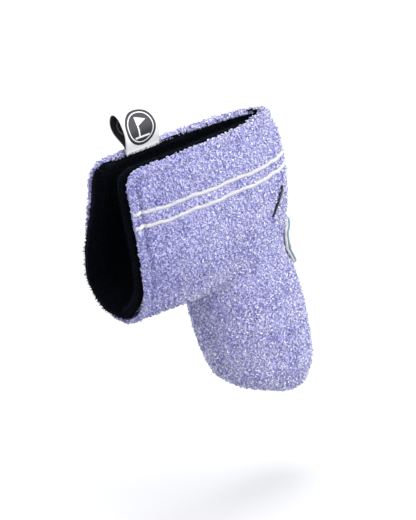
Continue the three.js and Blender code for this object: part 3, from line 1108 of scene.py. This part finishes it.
def line_on_cloth(height_at, side, x_from, x_to=None):
    """Places and facings along a nearly level line, from x_from to x_to, or round to the sole if x_to
    is left out."""
    hits = []
    for x in np.arange(x_from, min(TURN_X, x_to or TURN_X), 0.0008):
        hits.append(on_cloth((x, side * 0.08, height_at(x)), (0, -side, 0)))
    if x_to is None:
        for turn in np.radians(np.arange(90, 1, -2.5)):
            way = np.array((math.cos(turn), side * math.sin(turn), 0))
            middle = np.array((TURN_X, 0, height_at(TURN_X + 0.018 * math.cos(turn))))
            hits.append(on_cloth(middle + way * 0.08, -way))
    hits = [hit for hit in hits if hit]
    return np.array([place for place, _ in hits]), np.array([facing for _, facing in hits])


def evenly(places, facings, step):
    """The same line, with points at even distances."""
    gaps = np.linalg.norm(np.diff(places, axis=0), axis=1)
    run = np.concatenate([[0], np.cumsum(gaps)])
    at = np.linspace(0, run[-1], int(run[-1] / step) + 1)
    even = lambda values: np.column_stack([np.interp(at, run, values[:, axis]) for axis in range(3)])
    return even(places), unit(even(facings))


# %% Carry a section along a line
STITCH = 0.00042
SECTION = 9


def tube(name, centres, first_way, second_way):
    """A closed tube: a grid is laid along the centres and its two long edges are merged."""
    count = len(centres)
    bpy.ops.object.select_all(action="DESELECT")
    bpy.ops.mesh.primitive_grid_add(x_subdivisions=count - 1, y_subdivisions=SECTION, size=0.01)
    piece = bpy.context.object
    piece.name = name
    turn = np.linspace(0, 2 * math.pi, SECTION + 1)
    co = (
        centres[None]
        + first_way[None] * np.cos(turn)[:, None, None]
        + second_way[None] * np.sin(turn)[:, None, None]
    )
    move_points(piece, co.reshape(-1, 3))
    bpy.ops.object.mode_set(mode="EDIT")
    bpy.ops.mesh.select_all(action="SELECT")
    bpy.ops.mesh.remove_doubles(threshold=0.000001)
    bpy.ops.mesh.select_all(action="DESELECT")
    bpy.ops.mesh.select_mode(type="EDGE")
    bpy.ops.mesh.select_non_manifold()
    bpy.ops.mesh.edge_face_add()
    bpy.ops.mesh.select_all(action="SELECT")
    bpy.ops.mesh.normals_make_consistent(inside=False)
    bpy.ops.object.mode_set(mode="OBJECT")
    piece.data.shade_smooth()
    return piece


def satin(name, places, facings, width, rise, taper=None):
    """A band of satin stitch along a line on the cloth."""
    places, facings = evenly(places, facings, STITCH / 4)
    count = len(places)
    along = unit(np.gradient(places, axis=0))
    across = unit(np.cross(along, facings))
    wave = np.sin(math.pi / 2 * np.arange(count))
    fullness = np.ones(count) if taper is None else taper(np.linspace(0, 1, count))
    half = width / 2 * fullness * (1 + 0.04 * wave + 0.03 * random.normal(size=count))
    crown = rise * (0.4 + 0.6 * fullness) * (1 + 0.15 * wave)
    return tube(name, places, across * half[:, None], facings * crown[:, None])


# %% Sew the bands and the dash
def thread_material(name, low_colour, high_colour, roughness=0.42, sheen=0.25):
    material, nodes, links, shader = cloth_material(name, roughness, sheen)
    shader.inputs["Specular IOR Level"].default_value = 0.45
    fine = object_noise(nodes, links, 0.0005)
    base_colour(nodes, links, shader, fine, (0.25, low_colour), (0.75, high_colour))
    relief(nodes, links, shader, fine, 0.3, 0.0002)
    return material


white_thread = thread_material("white_thread", (0.44, 0.44, 0.48), (0.62, 0.62, 0.64))
black_thread = thread_material("black_thread", (0.002, 0.002, 0.003), (0.006, 0.006, 0.008), sheen=0.03)
red_thread = thread_material("red_thread", (0.40, 0.02, 0.02), (0.66, 0.05, 0.04))
# Painted shade: the topstitch thread is dark violet, darker than the pile, for the groove it is sunk in.
violet_thread = thread_material("violet_thread", (0.13, 0.12, 0.27), (0.25, 0.24, 0.45))
BAND_RISE = 0.0013

for side_name, side in HALVES.items():
    for band in BANDS:
        line = line_on_cloth(lambda x: float(band_height(band, x)), side, 0.0006)
        piece = satin(f"satin_band_{band}_{side_name}", *line, BAND_WIDTH * 1.05, BAND_RISE)
        piece.data.materials.append(white_thread)
        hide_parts(f"stripe_{band}_{side_name}_corner", f"stripe_{band}_{side_name}_pocket")
        crosses_fold(piece, side_name)
        print(piece.name, len(piece.data.polygons), "faces")

# %% Sew the dash on the front
hits = []
for share in np.linspace(0.02, 0.98, 40):
    x = DASH_START[0] + (DASH_END[0] - DASH_START[0]) * share
    z = DASH_START[1] + (DASH_END[1] - DASH_START[1]) * share
    hits.append(on_cloth((x, -0.08, z), (0, 1, 0)))
dash_line = np.array([hit[0] + hit[1] * 0.0009 for hit in hits if hit])
dash_facing = np.array([hit[1] for hit in hits if hit])
dash = satin(
    "satin_dash_front", dash_line, dash_facing, 0.0015, 0.0010,
    taper=lambda share: np.clip(0.12 + 0.9 * share ** 0.6 * (1 - share ** 12), 0.05, 1),
)
dash.data.materials.append(black_thread)
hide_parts("dash_front")
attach(dash, body_of("dash_front"))
print(dash.name, len(dash.data.polygons), "faces")

# %% [markdown]
# ## Topstitching
# The row of stitches that holds the turned edge is one long thread that dives in and out. Only the short
# lengths on top show, so each stitch is its own small sausage of thread, sunk in the groove.

# %% Sew the row beside the opening
STITCH_LENGTH = 0.0030
STITCH_PITCH = 0.0042
STITCH_STEP = 0.0003  # between two measured places along the row
THREAD_RADIUS = 0.00032


def topstitch_route(side):
    """The line that stays a fixed way inside the edge: up the mouth, round the corner and along the top."""
    radius = CORNER - TOPSTITCH / 2
    centre = (TOPSTITCH + radius, TOP - TOPSTITCH - radius)
    route = [(TOPSTITCH, z) for z in np.arange(UNDERSIDE + 0.004, centre[1], 0.001)]
    for turn in np.linspace(math.pi, math.pi / 2, 12):
        route.append((centre[0] + radius * math.cos(turn), centre[1] + radius * math.sin(turn)))
    route += [(x, TOP - TOPSTITCH) for x in np.arange(centre[0] + 0.001, 0.1, 0.001)]
    hits = [on_cloth((x, side * 0.08, z), (0, -side, 0)) for x, z in route]
    hits = [hit for hit in hits if hit]
    return evenly(np.array([hit[0] for hit in hits]), np.array([hit[1] for hit in hits]), STITCH_STEP)


for side_name, side in HALVES.items():
    route, route_facing = topstitch_route(side)
    per_stitch, per_pitch = int(STITCH_LENGTH / STITCH_STEP), int(STITCH_PITCH / STITCH_STEP)
    stitches = []
    for first in range(0, len(route) - per_stitch, per_pitch):
        span = slice(first, first + per_stitch)
        share = np.linspace(0, 1, per_stitch)
        swell_of = np.sqrt(np.clip(1 - (2 * share - 1) ** 4, 0.02, 1))
        way = unit(np.gradient(route[span], axis=0))
        across = unit(np.cross(way, route_facing[span]))
        centres = route[span] + route_facing[span] * (0.0007 * swell_of - 0.0002)[:, None]
        radius = THREAD_RADIUS * swell_of[:, None]
        stitches.append(tube("stitch", centres, across * radius, route_facing[span] * radius))
    only(stitches[0])
    for stitch in stitches[1:]:
        stitch.select_set(True)
    bpy.ops.object.join()
    row = bpy.context.object
    row.name = "topstitch_" + side_name
    row.data.materials.append(violet_thread)
    crosses_fold(row, side_name)
    print(row.name, len(stitches), "stitches")

# %% [markdown]
# ## Patches round the sole
# Two felt patches are sewn round the end: a tee, and the ball that stands on it. A flat patch is cut
# first and then wrapped. Each point keeps its height and its distance from the middle line, measured
# along the cloth.

# %% Measure the cloth round the sole
def sole_curve(height):
    """Distance from the middle line, place and facing, along a level line round the sole."""
    front, front_facing = line_on_cloth(lambda x: height, -1, 0.06)
    rear, rear_facing = line_on_cloth(lambda x: height, 1, 0.06)
    co = np.vstack([front, rear[::-1]])
    facings = np.vstack([front_facing, rear_facing[::-1]])
    run = np.concatenate([[0], np.cumsum(np.linalg.norm(np.diff(co, axis=0), axis=1))])
    middle = np.interp(0, co[len(front) - 3:len(front) + 3, 1], run[len(front) - 3:len(front) + 3])
    return run - middle, co, facings


LEVELS = np.arange(-0.072, -0.008, 0.001)
CURVES = [sole_curve(height) for height in LEVELS]


def wrap_patch(piece):
    """Turns a flat patch (X is the way round, Y the height, Z the thickness) into one that lies on the
    cloth."""
    flat = points_of(piece)
    co = []
    for reach, height, lift in flat:
        level = np.clip((height - LEVELS[0]) / (LEVELS[1] - LEVELS[0]), 0, len(LEVELS) - 1.001)
        below, share = int(level), level - int(level)
        pair = []
        for run, places_on, facings_on in (CURVES[below], CURVES[below + 1]):
            at = (
                [np.interp(reach, run, values[:, axis]) for values in (places_on, facings_on) for axis in range(3)]
            )
            pair.append(np.array(at))
        both = pair[0] * (1 - share) + pair[1] * share
        way = both[3:] / np.linalg.norm(both[3:])
        co.append(np.array((both[0], both[1], height)) + way * lift)
    move_points(piece, co)
    return piece


print("sole measured at", len(LEVELS), "levels")


# %% Cut, pad and wrap the patches
def felt_material(name, low_colour, high_colour):
    material, nodes, links, shader = cloth_material(name, 0.95, 0.3)
    fuzz = object_noise(nodes, links, 0.0012, 5)
    base_colour(nodes, links, shader, fuzz, (0.3, low_colour), (0.7, high_colour))
    relief(nodes, links, shader, fuzz, 0.5, 0.0004)
    return material


white_felt = felt_material("white_felt", (0.62, 0.59, 0.55), (0.80, 0.78, 0.73))
red_felt = felt_material("red_felt", (0.42, 0.02, 0.02), (0.62, 0.05, 0.04))
teal_thread = thread_material("teal_thread", (0.08, 0.15, 0.20), (0.17, 0.26, 0.32))
PATCH_LIFT = 0.0013
PATCH_THICK = 0.0012
DIMPLE_GAP = 0.0036


def flat_disc(name, radius, middle_height, cell=0.0007):
    """A fine grid cut to a disc, standing at a height, with a thickness below it."""
    bpy.ops.object.select_all(action="DESELECT")
    count = int(2 * radius / cell)
    bpy.ops.mesh.primitive_grid_add(x_subdivisions=count, y_subdivisions=count, size=2 * radius)
    disc = bpy.context.object
    disc.name = name
    for turn in np.linspace(0, 2 * math.pi, 40, endpoint=False):
        away = Vector((math.cos(turn), math.sin(turn), 0))
        bisect(disc, away * radius * 0.999, away)
    co = points_of(disc)
    inside = 1 - np.hypot(co[:, 0], co[:, 1]) / radius
    co[:, 2] += 0.0006 * np.clip(inside * 6, 0, 1) ** 0.5
    move_points(disc, co + np.array((0, middle_height, 0)))
    return disc


ball = flat_disc("ball_patch_felt", PATCH_RADIUS, PATCH_MIDDLE[2])
co = points_of(ball)
grid_x = co[:, 0] / DIMPLE_GAP
grid_y = (co[:, 1] - PATCH_MIDDLE[2]) / (DIMPLE_GAP * 0.866)
shifted = grid_x + 0.5 * (np.round(grid_y) % 2)
from_dimple = np.hypot(
    (shifted - np.round(shifted)) * DIMPLE_GAP, (grid_y - np.round(grid_y)) * DIMPLE_GAP * 0.866
)
co[:, 2] += PATCH_LIFT + PATCH_THICK / 2 - 0.0004 * ridge(from_dimple, 0.0009)
move_points(ball, co)
wrap_patch(ball)
apply(ball, "SOLIDIFY", thickness=PATCH_THICK, offset=-1)
ball.data.materials.append(white_felt)
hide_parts("ball_patch")
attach(ball, "pocket")
print(ball.name, len(ball.data.polygons), "faces")


def wrapped_satin(name, flat_route, width, material, replaced=None):
    """Satin stitch along a route given as (reach, height) on the flat patch."""
    flat_route = np.asarray(flat_route)
    centres = np.column_stack([flat_route, np.full(len(flat_route), PATCH_LIFT + PATCH_THICK)])
    facings = np.tile((0.0, 0.0, 1.0), (len(centres), 1))
    piece = satin(name, centres, facings, width, 0.0007)
    wrap_patch(piece)
    piece.data.materials.append(material)
    if replaced:
        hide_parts(replaced)
    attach(piece, "pocket")
    print(piece.name, len(piece.data.polygons), "faces")
    return piece


ring_turn = np.linspace(0, 2 * math.pi, 90)
rim_route = np.column_stack([np.cos(ring_turn), np.sin(ring_turn)]) * (PATCH_RADIUS - 0.0006)
wrapped_satin("ball_edge_satin", rim_route + (0, PATCH_MIDDLE[2]), 0.0007, teal_thread)
line_low, line_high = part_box("ball_line")
line_reach = min(PATCH_RADIUS - 0.002, (line_high[1] - line_low[1]) / 2 + 0.004)
swing = np.linspace(-1, 1, 40)
line_height = (line_low[2] + line_high[2]) / 2
line_route = np.column_stack([swing * line_reach, line_height + 0.001 * (1 - swing ** 2)])
wrapped_satin("ball_line_satin", line_route, 0.0022, red_thread, "ball_line")

# %% The tee under the ball
tee_low, tee_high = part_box("tee_patch")
CUP = (tee_high[1] - tee_low[1]) / 2
STEM = CUP * 0.36
tee = flat_disc("tee_felt", CUP, 0, 0.0006)
co = points_of(tee)
share = np.clip((co[:, 1] + CUP) / (2 * CUP), 0, 1)
half_width = STEM * np.clip(share * 4, 0.25, 1) + (CUP - STEM) * np.clip((share - 0.76) / 0.24, 0, 1) ** 0.5
chord = np.sqrt(np.clip(CUP ** 2 - co[:, 1] ** 2, 1e-9, None))
co[:, 0] = half_width * np.clip(co[:, 0] / chord, -1, 1)
co[:, 1] = tee_low[2] + share * (tee_high[2] - tee_low[2])
co[:, 2] += PATCH_LIFT
move_points(tee, co)
wrap_patch(tee)
apply(tee, "SOLIDIFY", thickness=PATCH_THICK, offset=-1)
tee.data.materials.append(red_felt)
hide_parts("tee_patch")
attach(tee, "pocket")
print(tee.name, len(tee.data.polygons), "faces")

# %% [markdown]
# ## The ribbon label
# A satin ribbon is doubled into a loop, and its ends are sewn in beside the back lining. Its outer face
# carries a round dark mark with a small flag on it. The mark is drawn by the material, in the ribbon's
# own UV map, so that it stays on the ribbon when the loop bends.

# %% Fold the ribbon
RIBBON_LINE = [  # back and up from the fold, mm
    (-0.4, -1.4), (-0.45, 0), (-1.2, 4.5), (-1.1, 9), (0.4, 13), (2.4, 16.6), (5.4, 18.6), (8.2, 18.2), (10.1, 15.4),
    (10.4, 11.6), (8.6, 8), (4.6, 4.8), (1.7, 2.6), (0.45, 0), (0.4, -1.4),
]
RIBBON_THICK = 0.0005
loop_low, loop_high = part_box("label_loop")
RIBBON_WIDTH = loop_high[0] - loop_low[0]
RIBBON_COLUMNS = 24
RIBBON_ROWS = 120
loop_foot = np.array((0.0110, 0.0436))


def smooth_line(points, count):
    """A Catmull-Rom curve through the points, at even distances."""
    p = np.asarray(points, float)
    p = np.vstack([2 * p[0] - p[1], p, 2 * p[-1] - p[-2]])
    fine = []
    for a, b, c, d in zip(p, p[1:], p[2:], p[3:]):
        for t in np.linspace(0, 1, 20, endpoint=False):
            fine.append(0.5 * (2 * b + (c - a) * t + (2 * a - 5 * b + 4 * c - d) * t * t + (3 * b - a - 3 * c + d) * t ** 3))
    fine = np.array(fine + [p[-2]])
    run = np.concatenate([[0], np.cumsum(np.linalg.norm(np.diff(fine, axis=0), axis=1))])
    at = np.linspace(0, run[-1], count)
    return np.column_stack([np.interp(at, run, fine[:, axis]) for axis in range(fine.shape[1])]), run[-1]


ribbon_line, ribbon_length = smooth_line(np.array(RIBBON_LINE) * MM, RIBBON_ROWS + 1)
bpy.ops.object.select_all(action="DESELECT")
bpy.ops.mesh.primitive_grid_add(
    x_subdivisions=RIBBON_COLUMNS, y_subdivisions=RIBBON_ROWS, size=0.02, calc_uvs=True
)
ribbon = bpy.context.object
ribbon.name = "label_ribbon"
across = np.tile(np.linspace(0, 1, RIBBON_COLUMNS + 1), RIBBON_ROWS + 1)
row_of = np.repeat(np.arange(RIBBON_ROWS + 1), RIBBON_COLUMNS + 1)
wavy = 0.0002 * np.sin(across * math.pi * 2) * np.sin(row_of / RIBBON_ROWS * math.pi)
ribbon_co = np.column_stack([
    loop_low[0] + across * RIBBON_WIDTH,
    loop_foot[0] + ribbon_line[row_of, 0] + wavy,
    loop_foot[1] + ribbon_line[row_of, 1],
])
move_points(ribbon, ribbon_co)
only(ribbon)
bpy.ops.object.mode_set(mode="EDIT")
bpy.ops.mesh.select_all(action="SELECT")
bpy.ops.mesh.normals_make_consistent(inside=False)
bpy.ops.object.mode_set(mode="OBJECT")
middle_face = ribbon.data.polygons[len(ribbon.data.polygons) // 8]
print("ribbon", round(ribbon_length / MM, 1), "mm long; a front face looks", [round(v, 2) for v in middle_face.normal])

# %% Weave and print the ribbon
def number_node(nodes, links, kind, *values):
    """A Math node: each value is a number or another node's output."""
    node = nodes.new("ShaderNodeMath")
    node.operation = kind
    for index, value in enumerate(values):
        if isinstance(value, (int, float)):
            node.inputs[index].default_value = value
        else:
            links.new(value, node.inputs[index])
    return node.outputs[0]


def ribbon_material(name, ground, mark, middle_v, solid):
    """Woven satin with a round mark, in millimetres from the mark's middle. A solid mark has a flag on
    it."""
    material, nodes, links, shader = cloth_material(name, 0.38, 0.1)
    uv = nodes.new("ShaderNodeUVMap")
    uv.uv_map = "UVMap"
    split = nodes.new("ShaderNodeSeparateXYZ")
    links.new(uv.outputs["UV"], split.inputs[0])
    join = lambda kind, *values: number_node(nodes, links, kind, *values)
    x = join("MULTIPLY", join("SUBTRACT", split.outputs[0], 0.5), RIBBON_WIDTH / MM)
    y = join("MULTIPLY", join("SUBTRACT", split.outputs[1], middle_v), ribbon_length / MM)
    reach = join("SQRT", join("ADD", join("MULTIPLY", x, x), join("MULTIPLY", y, y)))
    def band(low, high):
        return join("MULTIPLY", join("GREATER_THAN", reach, low), join("LESS_THAN", reach, high))
    if solid:
        pole = join("MULTIPLY", join("COMPARE", x, -1.7, 0.45), join("COMPARE", y, 0.3, 5.3))
        taper = join("MULTIPLY", join("SUBTRACT", 4.4, x), 0.42)
        flag = join("LESS_THAN", join("ABSOLUTE", join("SUBTRACT", y, 3.2)), taper)
        flag = join("MULTIPLY", flag, join("GREATER_THAN", x, -1.7))
        green = join("MULTIPLY", join("COMPARE", y, -5.1, 0.5), join("COMPARE", x, 0, 4.6))
        light = join("MAXIMUM", join("MAXIMUM", pole, flag), join("MAXIMUM", green, band(7.5, 8.1)))
        ink = join("MULTIPLY", join("LESS_THAN", reach, 9.6), join("SUBTRACT", 1, light))
    else:
        ink = band(6.6, 7.6)
    mix = nodes.new("ShaderNodeMix")
    mix.data_type = "RGBA"
    mix.inputs["A"].default_value = (*ground, 1)
    mix.inputs["B"].default_value = (*mark, 1)
    links.new(ink, mix.inputs["Factor"])
    weave = nodes.new("ShaderNodeTexWave")
    weave.bands_direction = "Y"
    weave.inputs["Scale"].default_value = 55
    links.new(uv.outputs["UV"], weave.inputs["Vector"])
    shade = ramp(nodes, links, weave.outputs["Fac"], (0, (0.86, 0.86, 0.88)), (1, (1, 1, 1)))
    links.new(multiply(nodes, links, mix.outputs["Result"], shade), shader.inputs["Base Color"])
    relief(nodes, links, shader, weave.outputs["Fac"], 0.25, 0.0001)
    return material


FRONT_MARK = 0.235  # middles of the two marks, as shares of the ribbon's length
REAR_MARK = 0.72
ribbon.data.materials.append(
    ribbon_material("ribbon_face", (0.70, 0.70, 0.72), (0.020, 0.020, 0.024), FRONT_MARK, True)
)
ribbon.data.materials.append(
    ribbon_material("ribbon_reverse", (0.012, 0.012, 0.014), (0.16, 0.16, 0.17), REAR_MARK, False)
)
apply(ribbon, "SOLIDIFY", thickness=RIBBON_THICK, offset=-1, material_offset=1)
ribbon.data.shade_smooth()
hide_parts("label_loop")
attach(ribbon, "label")

tail_weave, nodes, links, shader = cloth_material("ribbon_tail", 0.45)
tail_grain = object_noise(nodes, links, 0.0006)
base_colour(nodes, links, shader, tail_grain, (0.3, (0.60, 0.60, 0.62)), (0.7, (0.76, 0.76, 0.78)))
relief(nodes, links, shader, tail_grain, 0.3, 0.0002)
tail = NODES["label_anchor"]
tail.data.materials.clear()
tail.data.materials.append(tail_weave)
print("ribbon faces:", len(ribbon.data.polygons))

# %% [markdown]
# ## Lean the mouth
# The upper corner of a soft opening sinks back a little, as there is no foam behind it, and the lower one
# is drawn up by its seam. The end of the toe is fuller than the fixed model has it. Every layer has to
# move by the same amount at the same place, or one would come through another, so it is done once, to all
# of them together.

# %% Sink the upper corner of the mouth
SINK = 0.0030
DRAWN_UP = 0.0019
FULLER = 0.0018
SOFT_LAYERS = ("terry_", "lining_", "plush_", "foam_", "satin_", "topstitch_")
fixed = {node.name for node in NODES.values()}
layers = [
    piece for piece in bpy.data.objects if piece.name.startswith(SOFT_LAYERS) and piece.name not in fixed
]
for piece in layers:
    co = points_of(piece)
    by_mouth = np.clip(1 - co[:, 0] / 0.05, 0, 1.1)
    toe_end = np.clip((-0.068 - co[:, 2]) / 0.03, 0, 1) * np.clip((co[:, 0] - 0.06) / 0.03, 0, 1)
    co[:, 0] += SINK * np.clip(co[:, 2] / TOP, 0, 1) * by_mouth + FULLER * toe_end
    co[:, 2] += DRAWN_UP * np.clip(co[:, 2] / UNDERSIDE, 0, 1) * by_mouth
    move_points(piece, co)
print("pieces that lean:", len(layers))

# %% [markdown]
# ## Finish
# The working copies go.

# %% Remove the working copies
remove(outside)
remove(form)
